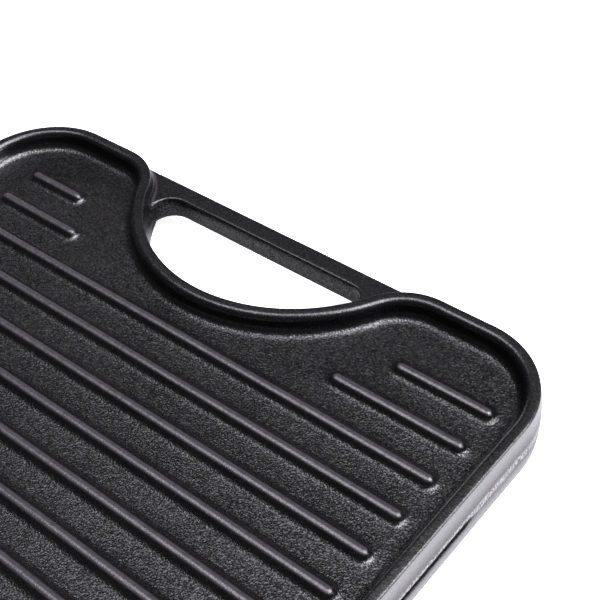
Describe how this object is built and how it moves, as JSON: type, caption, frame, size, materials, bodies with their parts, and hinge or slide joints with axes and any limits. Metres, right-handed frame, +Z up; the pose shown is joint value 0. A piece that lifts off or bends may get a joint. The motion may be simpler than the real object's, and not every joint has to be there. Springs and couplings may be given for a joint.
{
  "type": "griddle plate",
  "caption": "Reversible cast-iron griddle plate with a raised rim, a ribbed face, a smooth underside and a hand hole with a handle bar at each end.",
  "frame": {"origin": "middle of the plate in plan, on the plane of the underside rim that it rests on", "axes": "+X along the ribs towards the side with the gate scar, +Y along the plate, +Z up out of the ribbed face"},
  "size_m": [0.242, 0.4206, 0.0188],
  "materials": {
    "seasoned_iron": "satin black seasoning over a fine sand-cast grain"
  },
  "bodies": {
    "root": {"griddle_casting": "seasoned_iron"}
  },
  "joints": []
}
